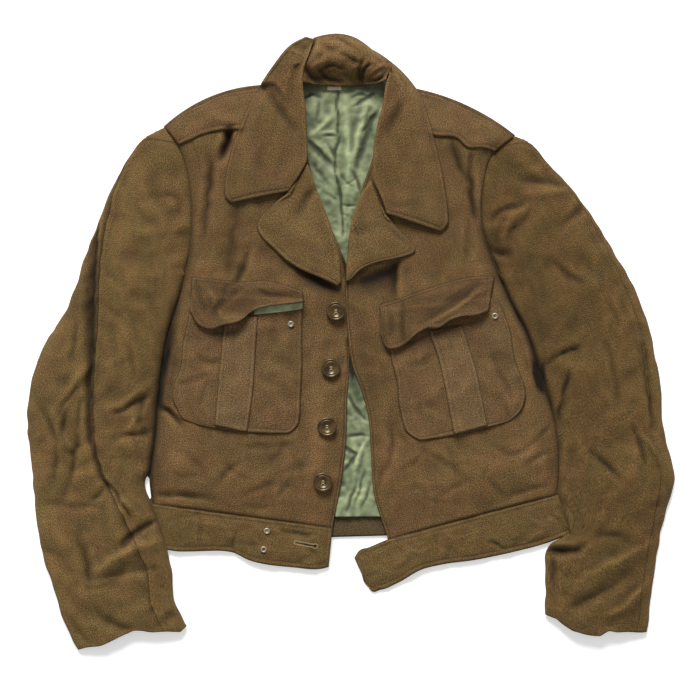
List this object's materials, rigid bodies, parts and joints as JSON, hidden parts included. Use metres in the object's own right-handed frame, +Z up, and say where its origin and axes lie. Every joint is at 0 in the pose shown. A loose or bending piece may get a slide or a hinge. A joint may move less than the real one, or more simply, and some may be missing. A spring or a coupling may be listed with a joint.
{
  "type": "ike jacket",
  "caption": "Short waist-length wool field jacket with banded waist, patch chest pockets and a wide collar, laid flat on its back.",
  "frame": {"origin": "middle of the jacket's outline, on the surface that it lies on", "axes": "+X to the wearer's left across both sleeves, +Y towards the collar, +Z up from the surface"},
  "size_m": [0.8042, 0.7662, 0.0324],
  "materials": {
    "wool": "thick olive-brown wool cloth with a dry, slightly fuzzy surface",
    "lining": "smooth sage green twill lining with a soft shine",
    "label": "plain woven tag, left blank",
    "button": "glossy dark brown, slightly mottled",
    "stud": "dulled dark brass"
  },
  "bodies": {
    "root": {"back": "wool", "back_lining": "lining", "neck_label": "label", "front_right": "wool", "front_left": "wool", "lapel_right": "wool", "lapel_left": "wool", "collar_stand": "wool", "collar_fall": "wool", "collar_leaf_right": "wool", "collar_leaf_left": "wool", "shoulder_strap_right": "wool", "shoulder_strap_left": "wool", "top_sleeve_right": "wool", "under_sleeve_right": "wool", "top_sleeve_left": "wool", "under_sleeve_left": "wool", "pocket_right": "wool", "pocket_left": "wool", "pocket_pleat_right": "wool", "pocket_pleat_left": "wool", "pocket_flap_right": "wool", "pocket_flap_left": "wool", "flap_lining_right": "lining", "waistband_right": "wool", "waistband_left": "wool", "waistband_back": "wool", "button_1": "button", "button_2": "button", "button_3": "button", "button_4": "button", "pocket_stud_right": "stud", "pocket_stud_left": "stud", "band_stud_upper": "stud", "band_stud_lower": "stud"}
  },
  "joints": []
}
